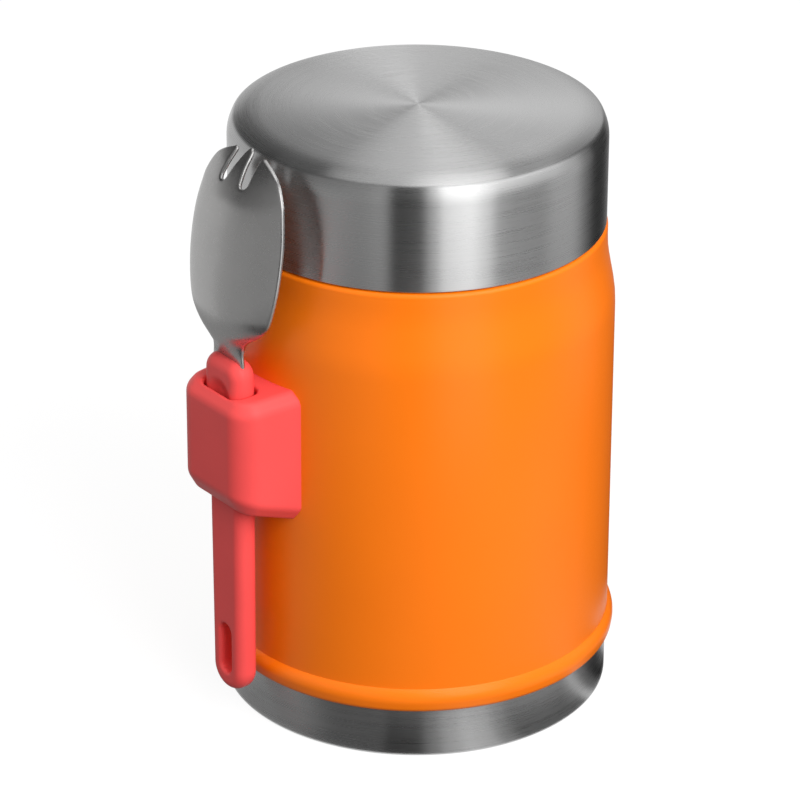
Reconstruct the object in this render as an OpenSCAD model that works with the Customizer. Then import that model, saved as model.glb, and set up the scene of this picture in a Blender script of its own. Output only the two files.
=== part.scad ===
// Vacuum insulated food jar with a screw lid and a spork stored in a holder on its side.
// The jar's axis is Z, its foot stands on Z = 0, and the holder faces -Y.

/* [Body] */
// Diameter of the painted wall
body_d = 93; // [76:0.1:112]
// Height of the painted shoulder above the floor
body_h = 118.5; // [98:0.5:144]
// Thickness of the steel sheet
sheet = 0.8; // [0.6:0.1:1]
// How far the bead stands out of the painted wall
bead_out = 1.5; // [1:0.05:2.5]
// Height of the bare base band
band_h = 12.8; // [11:0.1:16]
// Step from the painted wall in to the base band
band_in = 0.3; // [0.2:0.01:0.8]
// Step from the painted wall in to the shoulder's collar
collar_in = 2.15; // [1:0.05:2.6]
// Gap between the two walls, without the foil
vacuum_gap = 6.4; // [5:0.1:8]

/* [Lid] */
// Step from the collar in to the lid's side
lid_in = 0.3; // [0.1:0.05:1.5]
// Height of the lid's steel cap
lid_h = 27.6; // [23:0.1:33]
// Gap under the lid's rim
lid_gap = 0.3; // [0.2:0.05:0.8]
// Step from the lid's side in to the bare neck
neck_in = 5.35; // [5:0.05:7]

/* [Holder] */
// Thickness of the holder's outward wall
holder_wall = 2.6; // [2.2:0.1:4]
// Width of the holder where it meets the wall
holder_w = 28.2; // [23:0.1:34]
// Height of the holder where it meets the wall
holder_h = 33.5; // [28:0.5:38]
// Height of the holder's lower edge above the floor
holder_z = 57.6; // [54:0.1:62]
// Rounding of the holder's two upright corners
holder_round = 5.5; // [3:0.1:7]

/* [Spork] */
// Width of the spork's bowl
bowl_w = 34; // [28:0.5:38]
// Length of the bowl with its neck and tines
bowl_l = 51; // [44:0.5:56]
// How deep the bowl is
bowl_depth = 7.1; // [5:0.1:8]
// Thickness of the spork's steel
blade = 1.2; // [1:0.1:1.5]
// Width of the wide top of the handle
handle_w = 13.6; // [12.6:0.1:14.4]
// Thickness of the handle's grip
handle_t = 5.8; // [5.2:0.1:6.2]
// How much thicker the handle's top is than its grip
tongue_out = 0.7; // [0.6:0.1:1.2]
// Length of the handle
handle_l = 86.6; // [80:0.2:92]
// Play around the handle in the holder
play = 0.35; // [0.25:0.05:0.5]

/* [Hidden] */
$fn = 96;
over = 1; // overrun of every cut

// Radii of the jar
body_r = body_d / 2;
collar_r = body_r - collar_in;
band_r = body_r - band_in;
skirt_r = band_r - sheet;
lid_r = collar_r - lid_in;
neck_r = lid_r - neck_in;
throat_r = neck_r - 2 * sheet;
liner_r = body_r - sheet - vacuum_gap;

// Heights of the jar, some as steps below or above its shoulder and its base band
shoulder_low_drop = 18;
shoulder_high_drop = 6.7;
neck_rise = 11.3;
neck_sink = 0.5;
liner_lift = 9.2;
liner_neck_drop = 7;
liner_neck_in_drop = 2.5;
foil_drop = 12;
foil_lift = 1;
skirt_share = 0.32;
plate_share = 0.7;
mouth_z = body_h + neck_rise;
skirt_z = band_h * skirt_share;
plate_z = band_h * plate_share;
cup_z = skirt_z - 2 * sheet;
liner_z = band_h + liner_lift;
lip_h = sheet;
lip_round = 0.3;

// Roundings of the jar's walls
shoulder_round = 30;
collar_round = 1.2;
liner_round = 12;
liner_neck_round = 5;
soft_round = 0.8;
foot_round = 0.9;
foot_w = 7;
foot_rise = 1.5;

// The bead is one large and one small round, joined
bead_round = 3.7;
bead_rise = 2.7;
bead_foot_round = 1.6;
bead_foot_rise = 1.3;
bead_foot_in = 0.2;
bead_centre = [body_r + bead_out - bead_round, band_h + bead_rise];
bead_foot = [body_r + bead_out - bead_foot_in - bead_foot_round, band_h + bead_foot_rise];

// Foil, getter and seal in the vacuum space
foil = 0.3;
getter_r = 5.5;
getter_wall = 0.5;
getter_h = 2.4;
getter_share = 0.5;
dimple_r = 4.4;
dimple_h = 2;
seal_h = 1.4;
hole_r = 0.7;

// Lid
lid_z = body_h + lid_gap;
lid_top = lid_z + lid_h;
cap_r = lid_r - sheet;
crown_round = 8;
crown_edge_round = 1.6;
crown_top_round = 13.4;
crown_in = 1.22;
crown_top_in = 4.54;
crown_drop = 5.2;
crown_edge_drop = 2.32;
crown_rise = 0.7; // how far the top rises from its edge to its flat middle
crown_flat_r = 8;
skirt_wall = 1.84;
skirt_lift = 0.5;
gasket_h = 1.8;
gasket_w = 4;
gasket_out = 0.9;
gasket_r = neck_r + gasket_out;
gasket_play = 0.08;
rib_w = 1.2;
rib_drop = 0.8;
rib_deep = 2.4;
disc_h = 1.8;
disc_z = mouth_z + gasket_h;
foam_in = 1.2;

// Holder: a block with sloping top and underside, bevelled all round
ref_in = 2.35; // how far behind the wall the block's heights and width are given
back_in = 6;
wall_ref = body_r - ref_in;
holder_back = wall_ref - back_in;
top_slope = -0.06;
foot_slope = 0.335;
holder_narrow = 1.7; // how much narrower each side is at the outward face
bevel_side = 2.4;
bevel_out = 1.8;
bevel_top_h = 2.5;
bevel_foot_h = 3.1;
bevel_mid_share = 0.28; // share of the upper bevel's inset that is reached
bevel_mid_h_share = 0.58; // at this share of its height
bevel_round_less = 3.2;
holder_steps = 10;

// Handle, its sleeve and its stop
handle_off = 4.2; // from the painted wall to the handle's inward face
tongue_rise = 6.9; // from the holder's top at the wall to the top of the tongue
stop_rise = 10.5; // from the holder's lower edge to the stop on which the tongue rests
grip_in = 0.55;
grip_end_in = 1;
handle_r = body_r + handle_off;
grip_out_r = handle_r + handle_t;
tongue_out_r = grip_out_r + tongue_out;
holder_r = tongue_out_r + play + holder_wall;
holder_top = holder_z + holder_h;
tongue_top = holder_top + tongue_rise;
handle_z = tongue_top - handle_l;
stop_z = holder_z + stop_rise;
tongue_half = handle_w / 2;
grip_half = tongue_half - grip_in;
grip_end_half = tongue_half - grip_end_in;
edge_round = 2.4;
sleeve_round = 2.2;
tongue_round = 3.8;
crown_side_round = 3;
hang_r = 2.1;
hang_rise = 6.6;
hang_l = 8.8;
hang_low_z = handle_z + hang_rise;
hang_high_z = hang_low_z + hang_l;
tang_half = 4;
tang_l = 35;

// Screws and bosses behind the handle
boss_r = 2.6;
boss_l = 2.4;
screw_r = 1.2;
screw_head_r = 2.2;
screw_head_h = 1;
screw_l = 3.1;
sleeve_back_r = handle_r - play;
screw_shares = [0.17, 0.69];
screw_z = [for (share = screw_shares) stop_z + (holder_top - stop_z) * share];

// Bowl of the spork, along its length from the neck to the tine tips
bowl_sink = 1.6; // how far the bowl's neck is sunk in the handle
blade_off = 4.1; // from the handle's inward face to the steel's outward face
bowl_z = tongue_top - bowl_sink;
blade_r = handle_r + blade_off;
rim_lean = 7.3;
lean_share = 0.536;
bowl_power = 2.2;
bowl_rows = 30;
bowl_cols = 14;
row_crowd = 1.35;
half_shares = [
    [-1, 0.335], [0, 0.335], [0.071, 0.335], [0.129, 0.413], [0.188, 0.665], [0.247, 0.837],
    [0.306, 0.905], [0.424, 0.976], [0.541, 1], [0.659, 0.982], [0.776, 0.906], [0.835, 0.847],
    [0.914, 0.694], [0.953, 0.535], [0.985, 0.31], [1, 0.12], [2, 0.12]
];
depth_shares = [
    [-1, 0], [0, 0], [0.022, 0], [0.071, 0.31], [0.129, 0.59], [0.188, 0.75], [0.247, 0.86],
    [0.306, 0.93], [0.424, 0.986], [0.541, 1], [0.659, 0.958], [0.776, 0.817], [0.835, 0.66],
    [0.914, 0.394], [0.953, 0.21], [0.985, 0.04], [1, 0], [2, 0]
];
tine_slot_r = 1.1;
tine_slot_top_r = 1.8;
tine_slot_x_share = 0.22;
tine_slot_top_x_share = 0.15;
tine_slot_share = 0.88;
tine_slot_z = bowl_z + bowl_l * tine_slot_share;
tine_slot_top_z = bowl_z + bowl_l + over;

// Plane outlines whose corners are rounded by true arcs: each point is [x, y, radius],
// and the points run anticlockwise
function flat(v) = [v.x, v.y];
function unit(v) = v / norm(v);
function at(p, i) = p[(i + len(p)) % len(p)];
function edge(p, i) = unit(flat(at(p, i + 1)) - flat(at(p, i)));
function turn(p, i) = cross(edge(p, i - 1), edge(p, i));
function half_turn(p, i) = acos(max(-1, min(1, edge(p, i - 1) * edge(p, i)))) / 2;
function set_back(p, i) = at(p, i)[2] * tan(half_turn(p, i));
function before(p, i) = flat(at(p, i)) - edge(p, i - 1) * set_back(p, i);
function after(p, i) = flat(at(p, i)) + edge(p, i) * set_back(p, i);
function arc_centre(p, i) =
    flat(at(p, i)) + unit(edge(p, i) - edge(p, i - 1)) * at(p, i)[2] / cos(half_turn(p, i));

// The part of a rounding's circle between the two points where it meets the edges
module sector(p, i) {
    intersection() {
        polygon([before(p, i), flat(p[i]), after(p, i), arc_centre(p, i)]);
        translate(arc_centre(p, i)) circle(p[i][2]);
    }
}

// Convex corners gain their sector beyond the chord, and hollow corners lose it
module rounded_area(p) {
    difference() {
        union() {
            polygon([
                for (i = [0 : len(p) - 1])
                    each (p[i][2] > 0 ? [before(p, i), after(p, i)] : [flat(p[i])])
            ]);
            for (i = [0 : len(p) - 1])
                if (p[i][2] > 0 && turn(p, i) > 0) sector(p, i);
        }
        for (i = [0 : len(p) - 1])
            if (p[i][2] > 0 && turn(p, i) < 0) sector(p, i);
    }
}

// The outline moved inwards by one distance for each of its edges
function inner_normal(p, i) = [-edge(p, i).y, edge(p, i).x];
function inset_corner(c, n1, n2, d1, d2) =
    c + [d1 * n2.y - n1.y * d2, n1.x * d2 - d1 * n2.x] / cross(n1, n2);
function inset_radius(p, i, d) =
    p[i][2] == 0 ? 0 : max(0, p[i][2] - sign(turn(p, i)) * d);
function inset(p, d) = [
    for (i = [0 : len(p) - 1])
        let (c = inset_corner(flat(p[i]), inner_normal(p, i - 1), inner_normal(p, i), at(d, i - 1), d[i]))
            [c.x, c.y, inset_radius(p, i, d[i])]
];

// A sheet of the given thickness along an outline; an open edge has a negative distance
module sheet_area(p, d) {
    difference() {
        rounded_area(p);
        rounded_area(inset(p, d));
    }
}

module rounded_box_area(half_x, half_y, round_r) {
    rounded_area([
        [-half_x, -half_y, round_r], [half_x, -half_y, round_r],
        [half_x, half_y, round_r], [-half_x, half_y, round_r]
    ]);
}

module ring(inner, outer, low, high) {
    rotate_extrude() translate([inner, low]) square([outer - inner, high - low]);
}

// Points where the outer tangent of two circles meets them, on the side given by the sign
function tangent_turn(a, b, ra, rb) = acos((ra - rb) / norm(b - a));
function tangent_point(c, r, a, b, ra, rb, side) =
    let (t = atan2(b.y - a.y, b.x - a.x) + side * tangent_turn(a, b, ra, rb))
        c + r * [cos(t), sin(t)];

module joined_rounds(a, ra, b, rb) {
    translate(a) circle(ra);
    translate(b) circle(rb);
    polygon([
        tangent_point(a, ra, a, b, ra, rb, 1), tangent_point(a, ra, a, b, ra, rb, -1),
        tangent_point(b, rb, a, b, ra, rb, -1), tangent_point(b, rb, a, b, ra, rb, 1)
    ]);
}

// Painted steel wall: base skirt, bead, straight wall, soft shoulder and collar
shell_line = [
    [0, skirt_z, 0], [skirt_r, skirt_z, 0], [skirt_r, band_h, 0], [body_r, band_h, 0],
    [body_r, body_h - shoulder_low_drop, shoulder_round],
    [collar_r, body_h - shoulder_high_drop, shoulder_round],
    [collar_r, body_h, collar_round], [0, body_h, 0]
];

// All that the painted wall encloses, for what is fitted against the wall
module jar_outside() {
    rotate_extrude() rounded_area(shell_line);
}

module outer_shell() {
    color("darkorange")
        rotate_extrude()
            difference() {
                union() {
                    sheet_area(shell_line, [-over, sheet, sheet, sheet, sheet, sheet, sheet, -over]);
                    difference() {
                        joined_rounds(bead_centre, bead_round, bead_foot, bead_foot_round);
                        square([body_r - sheet / 2, body_h]);
                        square([body_d, band_h]);
                    }
                }
                translate([-over, 0]) square([neck_r + over, body_h + over]);
            }
}

module neck_ring() {
    color("silver") ring(neck_r - sheet, neck_r, body_h - sheet - neck_sink, mouth_z - lip_h);
}

// Food vessel: straight wall, drawn in at the neck and rolled over the neck ring
liner_line = [
    [0, liner_z, 0], [liner_r, liner_z, liner_round],
    [liner_r, body_h - liner_neck_drop, liner_neck_round],
    [neck_r - sheet, body_h - liner_neck_in_drop, liner_neck_round],
    [neck_r - sheet, mouth_z, 0], [0, mouth_z, 0]
];

module inner_liner() {
    color("gainsboro")
        rotate_extrude() {
            sheet_area(liner_line, [sheet, sheet, sheet, sheet, -over, -over]);
            rounded_area([
                [throat_r + sheet / 2, mouth_z - lip_h, 0], [neck_r, mouth_z - lip_h, 0],
                [neck_r, mouth_z, lip_round], [throat_r + sheet / 2, mouth_z, 0]
            ]);
        }
}

module foil_wrap() {
    color("peru") ring(liner_r, liner_r + foil, liner_z + liner_round + foil_lift, body_h - foil_drop);
}

module foil_disc() {
    color("peru") translate([0, 0, liner_z - foil]) cylinder(r = liner_r - liner_round, h = foil);
}

getter_z = liner_z - foil - getter_h - getter_wall;

module getter_cup() {
    color("silver")
        rotate_extrude()
            sheet_area(
                [
                    [0, getter_z, 0], [getter_r + getter_wall, getter_z, soft_round],
                    [getter_r + getter_wall, liner_z - foil, 0], [0, liner_z - foil, 0]
                ],
                [getter_wall, getter_wall, -over, -over]
            );
}

module getter() {
    color("dimgray")
        translate([0, 0, getter_z + getter_wall])
            cylinder(r = getter_r - lip_round, h = getter_h * getter_share);
}

// Plate that closes the vacuum space, with the dimple through which it is evacuated
plate_line = [
    [0, cup_z, 0], [skirt_r - sheet, cup_z, 0], [skirt_r - sheet, plate_z, foot_round],
    [dimple_r + sheet, plate_z, soft_round], [dimple_r + sheet, plate_z + dimple_h, soft_round],
    [0, plate_z + dimple_h, 0]
];

module bottom_plate() {
    color("silver")
        difference() {
            rotate_extrude() sheet_area(plate_line, [-over, sheet, sheet, sheet, sheet, -over]);
            cylinder(r = hole_r, h = band_h);
        }
}

module vacuum_seal() {
    color("black")
        translate([0, 0, plate_z + dimple_h - sheet - seal_h])
            cylinder(r = dimple_r - soft_round, h = seal_h);
}

// Bare base: band, foot ring and raised middle
cup_line = [
    [0, foot_rise, 0], [skirt_r - foot_w - foot_rise, foot_rise, soft_round],
    [skirt_r - foot_w, 0, soft_round], [band_r, 0, foot_round], [band_r, band_h, 0], [0, band_h, 0]
];

module base_cup() {
    color("silver") rotate_extrude() sheet_area(cup_line, [sheet, sheet, sheet, sheet, -over, -over]);
}

// A cylinder that points out of the wall towards -Y, from one radius to another
module outward(from_r, to_r, r1, r2) {
    translate([0, -from_r, 0]) rotate([90, 0, 0]) cylinder(h = to_r - from_r, r1 = r1, r2 = r2);
}

module boss(z) {
    color("silver")
        difference() {
            translate([0, 0, z]) outward(wall_ref, body_r + boss_l, boss_r, boss_r);
            jar_outside();
            translate([0, 0, z]) outward(sleeve_back_r - screw_l, sleeve_back_r, screw_r, screw_r);
        }
}

module screw(z) {
    color("gray")
        translate([0, 0, z]) {
            outward(sleeve_back_r - screw_l, sleeve_back_r, screw_r, screw_r);
            outward(sleeve_back_r - screw_head_h, sleeve_back_r, screw_r, screw_head_r);
        }
}

module boss_upper() {
    boss(screw_z[1]);
}

module boss_lower() {
    boss(screw_z[0]);
}

module screw_upper() {
    screw(screw_z[1]);
}

module screw_lower() {
    screw(screw_z[0]);
}

// Points of a rounded outline, with each arc in steps
function arc_point(p, i, share) =
    let (
        c = arc_centre(p, i),
        v = before(p, i) - c,
        a = atan2(v.y, v.x) + 2 * sign(turn(p, i)) * half_turn(p, i) * share
    )
        c + p[i][2] * [cos(a), sin(a)];
function rounded_points(p, steps) = [
    for (i = [0 : len(p) - 1])
        each (p[i][2] > 0 ? [for (k = [0 : steps]) arc_point(p, i, k / steps)] : [flat(p[i])])
];

// Outline of the holder seen from above, drawn in by a share of the bevel
function holder_plan(half, out_r, round_r) = rounded_points([
    [-half, -holder_back, 0], [-half, -wall_ref, 0],
    [holder_narrow - half, -out_r, round_r], [half - holder_narrow, -out_r, round_r],
    [half, -wall_ref, 0], [half, -holder_back, 0]
], holder_steps);

// The outline at a height that changes with the distance from the axis
function holder_level(height, slope, share) = [
    for (
        p = holder_plan(
            holder_w / 2 - bevel_side * share, holder_r - bevel_out * share,
            holder_round - bevel_round_less * share
        )
    )
        [p.x, p.y, height - slope * (p.y + wall_ref)]
];

module holder_block() {
    levels = [
        holder_level(holder_z, foot_slope, 1),
        holder_level(holder_z + bevel_foot_h, foot_slope, 0),
        holder_level(holder_top - bevel_top_h, top_slope, 0),
        holder_level(holder_top - bevel_top_h * (1 - bevel_mid_h_share), top_slope, bevel_mid_share),
        holder_level(holder_top, top_slope, 1)
    ];
    n = len(levels[0]);
    top = n * (len(levels) - 1);
    walls = [
        for (k = [0 : n : top - 1], i = [0 : n - 1])
            let (a = k + i, b = k + (i + 1) % n)
                each [[a, a + n, b + n], [a, b + n, b]]
    ];
    polyhedron(
        [for (level = levels) each level],
        concat([[for (i = [0 : n - 1]) i]], walls, [[for (i = [0 : n - 1]) top + n - 1 - i]])
    );
}

// Room for the handle, with play on every side
module sleeve(from_z, half, out_r) {
    translate([0, -(handle_r + out_r) / 2, from_z])
        linear_extrude(holder_h)
            rounded_box_area(half + play, (out_r - handle_r) / 2 + play, sleeve_round);
}

module spork_holder() {
    color([0.98, 0.37, 0.36])
        difference() {
            holder_block();
            jar_outside();
            sleeve(stop_z, tongue_half, tongue_out_r);
            sleeve(holder_z - over, grip_half, grip_out_r);
            for (z = screw_z)
                translate([0, 0, z]) {
                    outward(wall_ref, body_r + boss_l, boss_r, boss_r);
                    outward(sleeve_back_r - screw_l, sleeve_back_r, screw_r, screw_r);
                    outward(sleeve_back_r - screw_head_h, sleeve_back_r, screw_r, screw_head_r);
                }
        }
}

// Steel cap of the lid: its crown rolls softly into a top that rises a little to its middle
cap_line = [
    [0, lid_z, 0], [lid_r, lid_z, 0], [lid_r, lid_top - crown_drop, crown_round],
    [lid_r - crown_in, lid_top - crown_edge_drop, crown_edge_round],
    [lid_r - crown_top_in, lid_top - crown_rise, crown_top_round],
    [crown_flat_r, lid_top, 0], [0, lid_top, 0]
];

module lid_shell() {
    color("silver")
        rotate_extrude() sheet_area(cap_line, [-over, sheet, sheet, sheet, sheet, sheet, -over]);
}

// Moulded inside of the lid: skirt around the neck, disc, and two ribs that hold the gasket
module lid_liner() {
    color("darkslategray")
        rotate_extrude()
            difference() {
                translate([0, lid_z + skirt_lift]) square([cap_r, disc_z + disc_h - lid_z - skirt_lift]);
                translate([-over, lid_z]) square([over + gasket_r - gasket_w - rib_w, disc_z - lid_z]);
                translate([gasket_r - gasket_w, lid_z]) square([gasket_w, disc_z - lid_z]);
                translate([0, lid_z]) square([cap_r - skirt_wall, disc_z - rib_deep - lid_z]);
                translate([gasket_r + rib_w, lid_z])
                    square([cap_r - skirt_wall - gasket_r - rib_w, disc_z - lid_z]);
                translate([gasket_r - over, lid_z]) square([rib_w + 2 * over, disc_z - rib_drop - lid_z]);
            }
}

// Insulation that fills the cap above the moulded disc and touches the cap's top
module lid_foam() {
    side = sheet + foam_in;
    color("ivory")
        rotate_extrude()
            intersection() {
                rounded_area(inset(cap_line, [0, side, side, side, sheet, sheet, 0]));
                translate([0, disc_z + disc_h]) square([lid_r, lid_h]);
            }
}

module lid_gasket() {
    color("whitesmoke")
        ring(gasket_r - gasket_w + gasket_play, gasket_r - gasket_play, mouth_z, disc_z);
}

// Value of a table at x, along a smooth curve through its points
function span(t, x, i = 1) = x < t[i + 1][0] || i >= len(t) - 3 ? i : span(t, x, i + 1);
function slope(t, i) = (t[i + 1][1] - t[i - 1][1]) / (t[i + 1][0] - t[i - 1][0]);
function smooth(t, x) =
    let (
        i = span(t, x),
        w = t[i + 1][0] - t[i][0],
        u = (x - t[i][0]) / w
    )
        t[i][1] * (1 + 2 * u) * pow(1 - u, 2) + t[i + 1][1] * u * u * (3 - 2 * u)
        + w * u * pow(1 - u, 2) * (i == 1 ? 0 : slope(t, i))
        - w * u * u * (1 - u) * slope(t, i + 1);

// The bowl bulges outwards, away from the jar: a row is a height share, a column a width share
function row_share(i) = 1 - pow(1 - i / bowl_rows, row_crowd);
function col_share(j) = sin(180 * j / bowl_cols - 90);
function bowl_half(t) = bowl_w / 2 * smooth(half_shares, t);
function rim_r(t) = blade_r - rim_lean * (lean_share * t + (1 - lean_share) * t * t);
function bulge(t) = bowl_depth * max(0, smooth(depth_shares, t));
function bowl_r(t, s) = rim_r(t) + bulge(t) * (1 - pow(abs(s), bowl_power));
function bowl_steep(t, s) = -sign(s) * bulge(t) * bowl_power * pow(abs(s), bowl_power - 1) / bowl_half(t);
function bowl_point(t, s, depth) =
    let (m = bowl_steep(t, s), n = depth / sqrt(1 + m * m))
        [bowl_half(t) * s + m * n, n - bowl_r(t, s), bowl_z + bowl_l * t];

module bowl_solid() {
    row = bowl_cols + 1;
    face = row * (bowl_rows + 1);
    points = [
        for (depth = [0, blade], i = [0 : bowl_rows], j = [0 : bowl_cols])
            bowl_point(row_share(i), col_share(j), depth)
    ];
    // Outward face, then the inward face with its order reversed
    front = [
        for (i = [0 : bowl_rows - 1], j = [0 : bowl_cols - 1])
            let (k = i * row + j)
                each [[k, k + row, k + row + 1], [k, k + row + 1, k + 1]]
    ];
    back = [for (f = front) [face + f[0], face + f[2], face + f[1]]];
    left = [
        for (i = [0 : bowl_rows - 1])
            let (k = i * row)
                each [[k, face + k, face + k + row], [k, face + k + row, k + row]]
    ];
    right = [
        for (i = [0 : bowl_rows - 1])
            let (k = i * row + bowl_cols)
                each [[k, face + k + row, face + k], [k, k + row, face + k + row]]
    ];
    low = [for (j = [0 : bowl_cols - 1]) each [[j, j + 1, face + j + 1], [j, face + j + 1, face + j]]];
    high = [
        for (j = [0 : bowl_cols - 1])
            let (k = bowl_rows * row + j)
                each [[k, face + k + 1, k + 1], [k, face + k, face + k + 1]]
    ];
    polyhedron(points, concat(front, back, left, right, low, high));
}

module tine_slot(side) {
    translate([0, -blade_r + rim_lean + 2 * blade, 0])
        rotate([90, 0, 0])
            linear_extrude(bowl_depth + rim_lean + 2 * blade + over)
                joined_rounds(
                    [side * bowl_w / 2 * tine_slot_x_share, tine_slot_z], tine_slot_r,
                    [side * bowl_w / 2 * tine_slot_top_x_share, tine_slot_top_z], tine_slot_top_r
                );
}

module tang() {
    translate([-tang_half, -blade_r, bowl_z - tang_l]) cube([2 * tang_half, blade, tang_l + blade / 2]);
}

module spork_head() {
    color("silver") {
        difference() {
            bowl_solid();
            tine_slot(-1);
            tine_slot(1);
        }
        tang();
    }
}

// Grip: a flat bar with rounded edges and a round end, a little wider towards the top
module grip() {
    translate([0, -(handle_r + grip_out_r) / 2, 0])
        hull() {
            translate([0, 0, handle_z + grip_end_half])
                rotate([90, 0, 0])
                    rotate_extrude($fn = 48)
                        rounded_area([
                            [0, -handle_t / 2, 0], [grip_end_half, -handle_t / 2, edge_round],
                            [grip_end_half, handle_t / 2, edge_round], [0, handle_t / 2, 0]
                        ], $fn = 32);
            translate([0, 0, stop_z])
                linear_extrude(over) rounded_box_area(grip_half, handle_t / 2, edge_round, $fn = 32);
        }
}

// Tongue: where its outlines from the front, from the side and from above meet
module tongue() {
    middle_r = (handle_r + tongue_out_r) / 2;
    half_t = (tongue_out_r - handle_r) / 2;
    translate([0, -middle_r, 0])
        intersection() {
            rotate([90, 0, 0])
                linear_extrude(2 * handle_w, center = true)
                    rounded_area([
                        [-tongue_half, stop_z, 0], [tongue_half, stop_z, 0],
                        [tongue_half, tongue_top, tongue_round], [-tongue_half, tongue_top, tongue_round]
                    ]);
            rotate([90, 0, 90])
                linear_extrude(2 * handle_w, center = true)
                    rounded_area([
                        [-half_t, stop_z, 0], [half_t, stop_z, 0],
                        [half_t, tongue_top, crown_side_round], [-half_t, tongue_top, crown_side_round]
                    ]);
            translate([0, 0, stop_z])
                linear_extrude(tongue_top - stop_z) rounded_box_area(tongue_half, half_t, edge_round);
        }
}

module hang_slot() {
    translate([0, -handle_r + over, 0])
        rotate([90, 0, 0])
            linear_extrude(handle_t + 2 * over) {
                translate([0, hang_low_z]) circle(hang_r);
                translate([0, hang_high_z]) circle(hang_r);
                translate([-hang_r, hang_low_z]) square([2 * hang_r, hang_high_z - hang_low_z]);
            }
}

module spork_handle() {
    color([0.98, 0.37, 0.36])
        difference() {
            union() {
                grip();
                tongue();
            }
            hang_slot();
            tang();
            bowl_solid();
        }
}

outer_shell();
neck_ring();
inner_liner();
foil_wrap();
foil_disc();
getter_cup();
getter();
bottom_plate();
vacuum_seal();
base_cup();
boss_upper();
boss_lower();
screw_upper();
screw_lower();
spork_holder();
lid_shell();
lid_liner();
lid_foam();
lid_gasket();
spork_head();
spork_handle();
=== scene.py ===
import itertools
import math

import bmesh
import bpy
import numpy as np
from mathutils import Matrix, Vector
from mathutils.geometry import delaunay_2d_cdt


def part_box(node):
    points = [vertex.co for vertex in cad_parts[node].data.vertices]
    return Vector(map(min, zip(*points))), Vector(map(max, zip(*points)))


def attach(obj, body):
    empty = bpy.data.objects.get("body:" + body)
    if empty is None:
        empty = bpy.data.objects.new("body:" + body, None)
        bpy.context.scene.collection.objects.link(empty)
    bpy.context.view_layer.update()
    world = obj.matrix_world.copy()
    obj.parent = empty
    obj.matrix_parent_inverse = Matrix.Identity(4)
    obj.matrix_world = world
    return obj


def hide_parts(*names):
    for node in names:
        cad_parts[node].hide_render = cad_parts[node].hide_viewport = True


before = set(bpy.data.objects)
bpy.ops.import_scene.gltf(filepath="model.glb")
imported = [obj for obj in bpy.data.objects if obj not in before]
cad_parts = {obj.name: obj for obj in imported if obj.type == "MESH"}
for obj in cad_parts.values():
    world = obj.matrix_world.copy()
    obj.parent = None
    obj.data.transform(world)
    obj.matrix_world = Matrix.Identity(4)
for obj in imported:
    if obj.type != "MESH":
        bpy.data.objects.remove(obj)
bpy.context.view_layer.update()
scene = bpy.context.scene

# An insulated food jar: the jar's axis is Z, its foot stands on Z = 0, and the holder faces -Y.
# Lengths are in metres. A radius r on the holder's side lies at y = -r.
MM = 0.001
TURNS = 192  # segments round the jar's axis
FINE_TURNS = 256  # the same for the pieces whose outline shows
ARC_STEP = math.radians(7)
SHARP, MOULDED_SHARP, PRESSED_SHARP = math.radians(32), math.radians(60), math.radians(80)
ON_AXIS = 1e-7


def heights(node):
    low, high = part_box(node)
    return low.z, high.z


def half_width(node):
    """Half the width of a CAD node, which is its radius if it is round."""
    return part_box(node)[1].x


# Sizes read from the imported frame
SKIRT_Z, SHELL_TOP = heights("outer_shell")
BEAD_R = half_width("outer_shell")
BAND_R, BAND_TOP = half_width("base_cup"), heights("base_cup")[1]
NECK_R = half_width("neck_ring")
NECK_LOW, NECK_HIGH = heights("neck_ring")
LINER_R = half_width("inner_liner")
LINER_LOW, MOUTH_Z = heights("inner_liner")
LID_R = half_width("lid_shell")
LID_LOW, LID_TOP = heights("lid_shell")
CAP_R = half_width("lid_liner")
SKIRT_LOW, DISC_TOP = heights("lid_liner")
GASKET_R = half_width("lid_gasket")
GASKET_LOW, GASKET_HIGH = heights("lid_gasket")
BOWL_HALF, TIP_Z = half_width("spork_head"), heights("spork_head")[1]
HANDLE_LOW, HANDLE_TOP = heights("spork_handle")
HANDLE_IN_R = -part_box("spork_handle")[1].y
HANDLE_OUT_R = -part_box("spork_handle")[0].y

# Sizes of the jar that the boxes don't give
SHEET = 0.8 * MM
BEAD_OUT = 1.5 * MM
LID_IN = 0.3 * MM
BODY_R = BEAD_R - BEAD_OUT
COLLAR_R = LID_R + LID_IN
SKIRT_R = BAND_R - SHEET
SHOULDER_LOW = SHELL_TOP - 18 * MM
SHOULDER_HIGH = SHELL_TOP - 6.7 * MM


# ------------ meshes

def rounded(points):
    """A closed outline of (x, y, radius) corners as points, with each corner's arc in steps."""
    out = []
    for i, (x, y, radius) in enumerate(points):
        here = Vector((x, y))
        if radius <= 0:
            out.append((x, y))
            continue
        back = (Vector(points[i - 1][:2]) - here).normalized()
        ahead = (Vector(points[(i + 1) % len(points)][:2]) - here).normalized()
        half = back.angle(ahead) / 2
        centre = here + (back + ahead).normalized() * radius / math.sin(half)
        start = here + back * radius / math.tan(half) - centre
        bend = math.pi - 2 * half
        turn = 1 if back.x * ahead.y - back.y * ahead.x < 0 else -1
        steps = max(2, math.ceil(bend / ARC_STEP))
        for k in range(steps + 1):
            a = turn * bend * k / steps
            out.append((
                centre.x + start.x * math.cos(a) - start.y * math.sin(a),
                centre.y + start.x * math.sin(a) + start.y * math.cos(a),
            ))
    return out


def ring(r, z, turns):
    """Points spaced evenly round Z."""
    angles = [2 * math.pi * i / turns for i in range(turns)]
    return [(r * math.cos(a), r * math.sin(a), z) for a in angles]


def bands(rings, count):
    """Faces that join rings of points, each ring to the next."""
    return [
        [k * count + i, k * count + j, (k + 1) * count + j, (k + 1) * count + i]
        for k in range(rings - 1) for i, j in zip(range(count), [*range(1, count), 0])
    ]


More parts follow.
